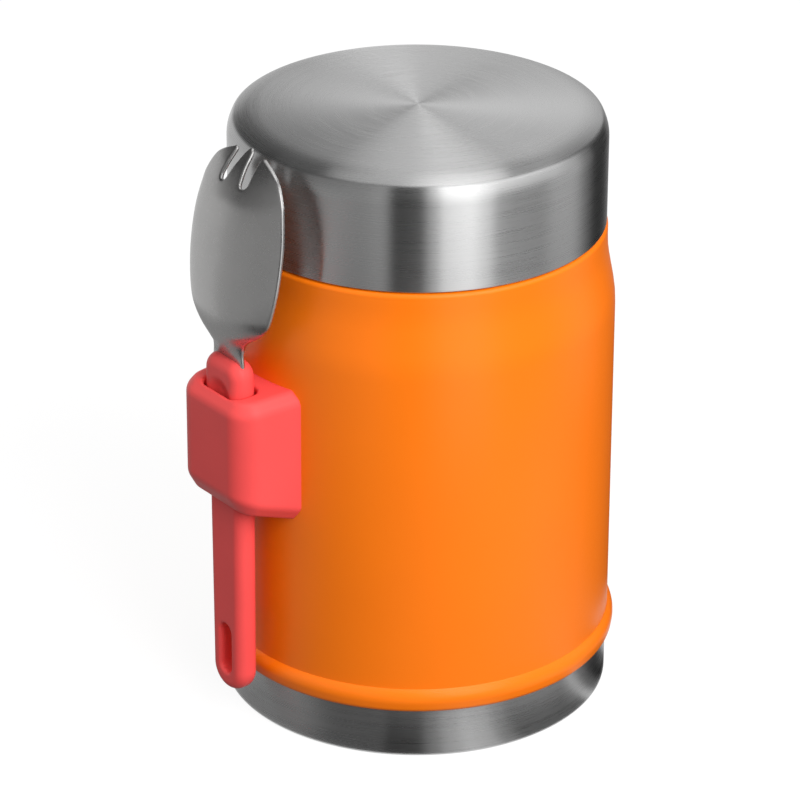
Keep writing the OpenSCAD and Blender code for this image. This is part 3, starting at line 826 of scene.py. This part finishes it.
HANDLE_R, TONGUE_R = HANDLE_IN_R / MM, HANDLE_OUT_R / MM
GRIP_R = TONGUE_R - 0.7
MIDDLE_R = (HANDLE_R + TONGUE_R) / 2
HANDLE_END, TONGUE_TOP = HANDLE_LOW / MM, HANDLE_TOP / MM
TONGUE_HALF = half_width("spork_handle") / MM
GRIP_HALF, GRIP_END_HALF = TONGUE_HALF - 0.55, TONGUE_HALF - 1.0
HOLDER_R = -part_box("spork_holder")[0].y / MM
HOLDER_HALF = half_width("spork_holder") / MM
HOLDER_TOP = TONGUE_TOP - 6.9
HOLDER_FOOT = HOLDER_TOP - 33.5
STOP_Z = HOLDER_FOOT + 10.5
WALL_REF = BODY_R / MM - 2.35
PLAY = 0.35
HANG_R, HANG_LOW, HANG_HIGH = 2.1, HANDLE_END + 6.6, HANDLE_END + 15.4
SCREW_HEIGHTS = [sum(heights(node)) / 2 / MM for node in ("screw_upper", "screw_lower")]
# Handle: how round its edges are, the thumb dish in its face and the lip of the hanging slot
GRIP_EDGE, TONGUE_CORNER, TONGUE_EDGE, STOP_EDGE = 2.4, 4.0, 3.0, 0.3
GRIP_INTO_TONGUE = 3
DISH_R, DISH_FADE, DISH_DEPTH = 4.6, 3.2, 0.75
DISH_LOW, DISH_HIGH = STOP_Z + 8, TONGUE_TOP - 9
HANG_LIP = 0.8
# Holder: its draft, its slopes to each step outwards, its bevels (inset, height and blend), the
# edges of its sleeve, its screw pockets and its gap to the body
DRAFT, HOLDER_CORNER = 1.7, 5.5
TOP_SLOPE, FOOT_SLOPE, FOOT_SLANT = 0.06, 0.335, 1.05
TOP_BEVEL, FOOT_BEVEL = (2.1, 2.5, 0.75), (2.2, 3.1, 0.65)
SLEEVE_ROUND, UPPER_LIP, LOWER_LIP = 2.6, 0.9, 0.5
POCKET_R, POCKET_DEPTH = 2.3, 1.05
WALL_GAP = 0.15


def meet_round(a, b, radius):
    """Where both fields are inside, with a rounded edge."""
    out = np.hypot(np.maximum(a + radius, 0), np.maximum(b + radius, 0))
    return np.minimum(np.maximum(a, b), -radius) + out


def meet_soft(a, b, reach):
    """Where both fields are inside, with a blended edge."""
    h = np.maximum(reach - np.abs(a - b), 0)
    return np.maximum(a, b) + h * h / (4 * reach)


def bevelled(side, top, inset, height, reach):
    """Side and top meet in a bevel whose own edges are blended."""
    slant = (side / inset + top / height + 1) / math.hypot(1 / inset, 1 / height)
    return meet_soft(np.maximum(side, top), slant, reach)


def box_field(x, d, half, near, far, radius):
    """A rounded oblong seen from above."""
    return meet_round(np.abs(x) - half, np.abs(d - (near + far) / 2) - (far - near) / 2, radius)


def tongue_field(x, d, z):
    """The broad upper part, which sits in the sleeve and carries the bowl."""
    front = meet_round(np.abs(x) - TONGUE_HALF, z - TONGUE_TOP, TONGUE_CORNER)
    across = np.abs(d - MIDDLE_R) - (TONGUE_R - HANDLE_R) / 2
    tongue = meet_round(meet_round(front, across, TONGUE_EDGE), STOP_Z - z, STOP_EDGE)
    dish = np.hypot(x, z - np.clip(z, DISH_LOW, DISH_HIGH)) - DISH_R
    fade = np.clip(-dish / DISH_FADE, 0, 1)
    return tongue + np.where(d > MIDDLE_R, DISH_DEPTH, 0) * fade * fade * (3 - 2 * fade)


def handle_field(x, y, z):
    d = -y
    middle = HANDLE_END + GRIP_END_HALF
    up = np.clip((z - middle) / (STOP_Z - middle), 0, 1)
    bar = np.abs(x) - (GRIP_END_HALF + (GRIP_HALF - GRIP_END_HALF) * up)
    outline = np.where(z > middle, bar, np.hypot(x, z - middle) - GRIP_END_HALF)
    across = np.abs(d - (HANDLE_R + GRIP_R) / 2) - (GRIP_R - HANDLE_R) / 2
    grip = meet_round(outline, across, GRIP_EDGE)
    grip = np.maximum(grip, z - STOP_Z - GRIP_INTO_TONGUE)
    slot = np.hypot(x, z - np.clip(z, HANG_LOW, HANG_HIGH)) - HANG_R
    return meet_round(np.minimum(grip, tongue_field(x, d, z)), -slot, HANG_LIP)


def holder_field(x, y, z):
    d = -y
    out = d - WALL_REF
    side = np.abs(x) - (HOLDER_HALF - DRAFT * out / (HOLDER_R - WALL_REF))
    block = meet_round(side, d - HOLDER_R, HOLDER_CORNER)
    block = bevelled(block, z - (HOLDER_TOP - TOP_SLOPE * out), *TOP_BEVEL)
    foot = (HOLDER_FOOT + FOOT_SLOPE * out - z) / FOOT_SLANT
    block = bevelled(block, foot, *FOOT_BEVEL)
    back = HANDLE_R - PLAY
    upper = box_field(x, d, TONGUE_HALF + PLAY, back, TONGUE_R + PLAY, SLEEVE_ROUND)
    lower = box_field(x, d, GRIP_HALF + PLAY, back, GRIP_R + PLAY, SLEEVE_ROUND)
    block = meet_round(block, -np.maximum(upper, STOP_Z - z), UPPER_LIP)
    block = meet_round(block, -lower, LOWER_LIP)
    for height in SCREW_HEIGHTS:
        off = np.hypot(x, z - height) - POCKET_R
        pocket = np.maximum(off, np.abs(d - back) - POCKET_DEPTH)
        block = np.maximum(block, -pocket)
    return np.maximum(block, BODY_R / MM - WALL_GAP - np.hypot(x, d))


LEVEL_REACH, LEVEL_LIMIT, LEAST_SLOPE = 0.02, 0.3, 0.3
LEVEL_ROUNDS = 2


def levelled(field, points, step):
    """The points brought along the field's slope towards where it is nought."""
    here = field(*points.T)
    slope = np.stack([
        (field(*(points + LEVEL_REACH * e).T) - field(*(points - LEVEL_REACH * e).T))
        / (2 * LEVEL_REACH)
        for e in np.eye(3)
    ], axis=1)
    move = slope * (here / np.maximum((slope ** 2).sum(1), LEAST_SLOPE))[:, None]
    return points - np.clip(move, -LEVEL_LIMIT * step, LEVEL_LIMIT * step)


def crossings(values, cells):
    """How many edges of each grid cell the surface crosses, and the sum of where it does."""
    def corner(offset):
        return values[tuple(slice(o, o + n) for o, n in zip(offset, cells))]

    total, hits = np.zeros(cells + [3]), np.zeros(cells)
    for a in itertools.product((0, 1), repeat=3):
        for axis in range(3):
            if a[axis]:
                continue
            b = tuple(1 if k == axis else v for k, v in enumerate(a))
            fa, fb = corner(a), corner(b)
            cross = (fa < 0) != (fb < 0)
            gap = np.where(cross, fa - fb, 1)
            for k in range(3):
                total[..., k] += np.where(cross, a[k] + (fa / gap if k == axis else 0), 0)
            hits += cross
    return hits, total


def skin(field, low, high, step):
    """The closed surface where a field is nought, as points and faces: one point in each grid
    cell that the surface crosses, brought onto the surface."""
    counts = [int(math.ceil((b - a) / step)) + 1 for a, b in zip(low, high)]
    axes = [a + step * np.arange(n) for a, n in zip(low, counts)]
    values = field(*np.meshgrid(*axes, indexing="ij"))
    cells = [n - 1 for n in counts]
    hits, total = crossings(values, cells)
    live = hits > 0
    number = np.full(cells, -1)
    number[live] = np.arange(live.sum())
    points = np.array(low) + step * (np.argwhere(live) + total[live] / hits[live][:, None])
    faces = []
    for axis in range(3):
        u, v = np.eye(3, dtype=int)[[(axis + 1) % 3, (axis + 2) % 3]]
        ends = np.eye(3, dtype=int)[axis]
        cut = [slice(1, n - 1) for n in counts]
        cut[axis] = slice(0, counts[axis] - 1)
        a = values[tuple(cut)]
        cut[axis] = slice(1, counts[axis])
        b = values[tuple(cut)]
        base = np.argwhere((a < 0) != (b < 0)) + (1 - ends)
        quad = [number[tuple((base - back).T)] for back in (0 * u, u, u + v, v)]
        faces.append(np.stack(quad, axis=1))
    for _ in range(LEVEL_ROUNDS):
        points = levelled(field, points, step)
    return points * MM, np.concatenate(faces).tolist()


HOLDER_STEP, HANDLE_STEP = 0.33, 0.3  # the grids' spacing
ROOM, WALL_ROOM = 1, 3


def make_moulding(body, node, field, low, high, step):
    """The skin of a field, looked for in a box with some room round it."""
    surface = skin(field, [v - ROOM for v in low], [v + ROOM for v in high], step)
    piece = build(node + "_moulded", surface, sharp=MOULDED_SHARP)
    place(piece, body, node, "coral_moulding")


def make_holder():
    low = (-HOLDER_HALF, -HOLDER_R, HOLDER_FOOT)
    high = (HOLDER_HALF, -WALL_REF + WALL_ROOM, HOLDER_TOP)
    make_moulding("jar", "spork_holder", holder_field, low, high, HOLDER_STEP)


def make_handle():
    low = (-TONGUE_HALF, -TONGUE_R, HANDLE_END)
    high = (TONGUE_HALF, -HANDLE_R, TONGUE_TOP)
    make_moulding("spork", "spork_handle", handle_field, low, high, HANDLE_STEP)


# ------------ carried-over CAD nodes

CARRIED = {
    "copper_foil": ("foil_wrap", "foil_disc"), "screw_steel": ("screw_upper", "screw_lower"),
    "bare_steel": ("getter_cup", "bottom_plate", "boss_upper", "boss_lower"),
    "getter_pellet": ("getter",), "seal_resin": ("vacuum_seal",), "foam": ("lid_foam",),
}


def dress_carried():
    """The CAD nodes that no piece replaces keep their shape and get a material."""
    for slot, nodes in CARRIED.items():
        for node in nodes:
            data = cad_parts[node].data
            data.materials.clear()
            data.materials.append(MATERIALS[slot])


# ------------ studio

VIEW_AZIMUTH, VIEW_ELEVATION = math.radians(52.2), math.radians(26.171)
VIEW_ROLL = 0.0046
VIEW_DISTANCE = 1.0101
LOOK_Z, LOOK_SIDE = 70.64 * MM, -3.84 * MM
LENS, SENSOR = 191.508, 36
NEAREST, FARTHEST = 0.01, 20


def towards(azimuth, elevation):
    """The unit vector from the jar towards that azimuth and elevation, in radians."""
    a, e = azimuth, elevation
    return Vector((math.sin(a) * math.cos(e), -math.cos(a) * math.cos(e), math.sin(e)))


def make_camera():
    """The photo's view: its tilt is VIEW_ROLL, and the jar's axis stands LOOK_SIDE off centre."""
    back = towards(VIEW_AZIMUTH, VIEW_ELEVATION)
    right = Vector((math.cos(VIEW_AZIMUTH), math.sin(VIEW_AZIMUTH), 0))
    up = back.cross(right)
    c, s = math.cos(VIEW_ROLL), math.sin(VIEW_ROLL)
    right, up = right * c + up * s, up * c - right * s
    spot = Vector((0, 0, LOOK_Z)) + right * LOOK_SIDE + back * VIEW_DISTANCE
    data = bpy.data.cameras.new("camera")
    data.lens, data.sensor_width = LENS, SENSOR
    data.clip_start, data.clip_end = NEAREST, FARTHEST
    camera = new_object("camera", data)
    camera.matrix_world = Matrix((
        (right.x, up.x, back.x, spot.x), (right.y, up.y, back.y, spot.y),
        (right.z, up.z, back.z, spot.z), (0, 0, 0, 1)
    ))
    scene.camera = camera


def seen_directly(tree):
    """1 for camera, glossy and transmission rays, and 0 for the others."""
    path = add(tree, "ShaderNodeLightPath").outputs
    either = maths(tree, "MAXIMUM", path["Is Camera Ray"], path["Is Glossy Ray"])
    return maths(tree, "MAXIMUM", either, path["Is Transmission Ray"])


AMBIENT = 0.46  # the world's level for rays that only light a surface
FLOOR_BOUNCE = 0.15  # how pale the floor is to the light that it throws onto the jar
FLOOR_SEEN, FLOOR_GLOW, GLOW_SHARE = 0.8, 1.1, 0.8
FLOOR_HALF, FLOOR_Z = 3.0, -0.05 * MM


def blend_shaders(tree, share, a, b):
    return add(tree, "ShaderNodeMixShader", {0: share, 1: a.outputs[0], 2: b.outputs[0]}).outputs[0]


def make_world():
    """White where it is seen or mirrored, and a soft light from all round elsewhere."""
    world = bpy.data.worlds.new("studio")
    world.use_nodes = True
    tree = world.node_tree
    tree.nodes.clear()
    shade = add(tree, "ShaderNodeBackground", {"Color": (1, 1, 1, 1), "Strength": AMBIENT})
    shown = add(tree, "ShaderNodeBackground", {"Color": (1, 1, 1, 1), "Strength": 1.0})
    both = blend_shaders(tree, seen_directly(tree), shade, shown)
    show(tree, both, "ShaderNodeOutputWorld")
    scene.world = world


def make_floor():
    """A pale floor that shows as white but for the object's soft shadow."""
    corners = ((-1, -1), (1, -1), (1, 1), (-1, 1))
    verts = [(x * FLOOR_HALF, y * FLOOR_HALF, FLOOR_Z) for x, y in corners]
    floor = build("floor", (verts, [[0, 1, 2, 3]]))
    material, tree = empty_material("floor")
    shown = seen_directly(tree)
    tint = blend_colours(tree, shown, (FLOOR_BOUNCE,) * 3, (FLOOR_SEEN,) * 3)
    pale = add(tree, "ShaderNodeBsdfDiffuse", {"Color": tint})
    white = add(tree, "ShaderNodeEmission", {"Color": (1, 1, 1, 1), "Strength": FLOOR_GLOW})
    share = maths(tree, "MULTIPLY", shown, GLOW_SHARE)
    show(tree, blend_shaders(tree, share, pale, white))
    floor.data.materials.append(material)


# Azimuth and elevation in degrees, distance, width, height, and the level at which the lamp
# lights a white surface that faces it
SOFTBOXES = {
    "key": (86, 35, 0.9, 0.6, 0.7, 1.22),
    "top": (40, 82, 0.9, 0.7, 0.7, 0.3),
}
LAMP_AIM = Vector((0, 0, 0.07))


def softbox(name, azimuth, elevation, distance, width, height, level):
    """A soft lamp. What metal reflects in its place comes from the panels."""
    data = bpy.data.lights.new(name, "AREA")
    data.shape = "RECTANGLE"
    data.size, data.size_y = width, height
    data.energy = level * math.pi ** 2 * distance ** 2
    lamp = new_object(name, data)
    way = towards(math.radians(azimuth), math.radians(elevation))
    lamp.location = LAMP_AIM + way * distance
    lamp.rotation_mode = "QUATERNION"
    lamp.rotation_quaternion = way.to_track_quat("Z", "Y")
    lamp.visible_glossy = False


def make_lamps():
    for name, settings in SOFTBOXES.items():
        softbox(name, *settings)


# Cards round the jar that only reflections see. Azimuths are in degrees from the camera's, and
# each level runs smoothly to the next one.
WALL_R, WALL_H = 0.16, 0.30
CARD_R, APRON_R, WALL_FOOT = 0.0466, 0.07, 0.03
CARD_Z, MIDDLE_HOLE, CARD_TURNS = 0.2 * MM, 1 * MM, 128
SEAM_LOW, SEAM_HIGH = 0.15, 0.19  # heights between which the walls pass from low to high levels
# The walls: azimuth, the level low down and the level high up
PANELS = [
    (-176, 0.75, 0.95), (-166, 0.75, 0.45), (-158, 0.85, 0.14), (-146, 0.9, 0.08),
    (-128, 0.7, 0.06), (-100, 0.72, 0.08), (-84, 0.68, 0.1), (-70, 0.5, 0.12),
    (-56, 0.44, 0.2), (-30, 0.4, 0.34), (-18, 0.48, 0.48), (-11, 0.06, 0.06), (1, 0.08, 0.15),
    (8, 0.6, 1.2), (15, 1.35, 2.6), (27, 1.6, 2.8), (36, 1.1, 2.3), (43, 0.38, 2.0),
    (52, 0.27, 1.8), (66, 0.29, 1.6), (80, 0.55, 1.4), (93, 0.62, 0.9), (104, 0.3, 0.35),
    (114, 0.05, 0.1), (133, 0.03, 0.2), (142, 0.2, 0.6), (154, 0.45, 0.8), (170, 0.6, 0.95),
]
# What the base band sees of the floor card, as the azimuth at which the lid sees the same light
# The floor card is partly painted shade: its levels follow the walls' pattern of light, set lower
# so the band shows the floor's shade round the foot.
BAND = [
    (-150, 0.12), (-134, 0.12), (-124, 0.2), (-106, 0.32), (-90, 0.23), (-60, 0.22), (-34, 0.11),
    (-17, 0.09), (-11, 0.03), (1, 0.03), (9, 0.2), (17, 0.45), (26, 0.7), (35, 0.62), (43, 0.3),
    (52, 0.07), (80, 0.08), (90, 0.12), (97, 0.8), (106, 0.24), (118, 0.02), (133, 0.06),
    (145, 0.9), (158, 0.9),
]
# What the painted body sees of the apron, further out
BODY = [
    (-170, 0.4), (-66, 0.38), (-52, 0.3), (-42, 0.06), (-22, 0.1), (0, 0.3), (22, 0.45),
    (43, 0.65), (65, 0.7), (88, 0.3), (103, 0.07), (120, 0.04), (170, 0.04),
]
# The ceiling, which the top of the lid sees: its outer ring and, within RIM_R, its middle
CEILING_RIM = [
    (-173, 0.75), (-162, 0.12), (-20, 0.12), (30, 0.45), (120, 0.3), (160, 0.35), (173, 0.72),
]
CEILING_MIDDLE = [
    (-160, 0.95), (-120, 0.75), (-40, 0.8), (0, 1.5), (40, 2.0), (120, 1.7), (170, 1.1),
]
RIM_R = 0.085


def azimuth_ramp(tree, stops):
    """A level that follows the azimuth round the jar."""
    point = object_point(tree)
    angle = add(tree, "ShaderNodeTexGradient", {"Vector": point}, gradient_type="RADIAL")
    ramp = tree.nodes.new("ShaderNodeValToRGB")
    tree.links.new(angle.outputs["Fac"], ramp.inputs["Fac"])
    ramp.color_ramp.interpolation = "EASE"
    turn = math.degrees(VIEW_AZIMUTH) + 90
    places = sorted((((turn + azimuth) / 360) % 1.0, level) for azimuth, level in stops)
    first = ramp.color_ramp.elements[0]
    ramp.color_ramp.elements.remove(ramp.color_ramp.elements[-1])
    first.position, first.color = places[0][0], (places[0][1],) * 3 + (1,)
    for share, level in places[1:]:
        ramp.color_ramp.elements.new(share).color = (level, level, level, 1)
    return ramp.outputs["Color"]


def card_material(name, low, high=None):
    """A light-giving card whose level follows the azimuth, and the height if it has two lists."""
    material, tree = empty_material(name)
    level = azimuth_ramp(tree, low)
    if high:
        height = add(tree, "ShaderNodeSeparateXYZ", {0: object_point(tree)}).outputs[2]
        share = add(tree, "ShaderNodeMapRange", {
            "Value": height, "From Min": SEAM_LOW, "From Max": SEAM_HIGH
        }, interpolation_type="SMOOTHSTEP").outputs["Result"]
        level = add(tree, "ShaderNodeMix", {
            "Factor": share, 6: level, 7: azimuth_ramp(tree, high)
        }, data_type="RGBA").outputs[2]
    show(tree, add(tree, "ShaderNodeEmission", {"Color": level, "Strength": 1.0}).outputs[0])
    material.cycles.emission_sampling = "NONE"
    return material


LID_TO_WALL = 0.281  # about the lid's radius as a share of the walls'
CARD_RUN = 0.3  # how far towards the walls' azimuth a reflection has run at the floor card
NEAR_ENOUGH = 0.01


def band_azimuth(seen):
    """Where on the floor card the base band sees what the lid sees at that azimuth. Halving
    finds the spot on the side that reflects the walls there; the card lies a little further."""
    low, high = 0.0, 90.0
    while high - low > NEAR_ENOUGH:
        half = (low + high) / 2
        short = math.degrees(math.asin(LID_TO_WALL * math.sin(math.radians(half))))
        low, high = (half, high) if 2 * half - short < abs(seen) else (low, half)
    return math.copysign(low + CARD_RUN * (abs(seen) - low), seen)


def make_card(name, rings, *levels):
    """A card that runs from ring to ring (radius, height) round the jar's axis, and shows in
    reflections and nowhere else."""
    verts = [point for r, z in rings for point in ring(r, z, CARD_TURNS)]
    card = build(name, (verts, bands(len(rings), CARD_TURNS)))
    card.data.materials.append(card_material(name, *levels))
    card.visible_camera = False
    card.visible_diffuse = False
    card.visible_shadow = False
    card.visible_transmission = False
    card.visible_volume_scatter = False


def make_panels():
    low, high = [stop[:2] for stop in PANELS], [stop[::2] for stop in PANELS]
    band = [(band_azimuth(azimuth), level) for azimuth, level in BAND]
    apron = [(APRON_R, CARD_Z), (WALL_R, CARD_Z), (WALL_R, WALL_FOOT)]
    # Painted shade in part: a dim sheet round the foot, seen only in reflections, in place of the
    # floor's shade there.
    make_card("studio_floor_card", [(CARD_R, CARD_Z), (APRON_R, CARD_Z)], band)
    make_card("studio_apron", apron, BODY)
    make_card("studio_walls", [(WALL_R, WALL_FOOT), (WALL_R, WALL_H)], low, high)
    make_card("studio_rim", [(WALL_R, WALL_H), (RIM_R, WALL_H)], CEILING_RIM)
    make_card("studio_middle", [(RIM_R, WALL_H), (MIDDLE_HOLE, WALL_H)], CEILING_MIDDLE)


# ------------ run

make_outer_shell()
make_base_cup()
make_neck_ring()
make_inner_liner()
make_lid_shell()
make_lid_liner()
make_gasket()
make_spork_head()
make_holder()
make_handle()
dress_carried()

make_camera()
make_world()
make_floor()
make_lamps()
make_panels()
scene.view_settings.view_transform = "Standard"
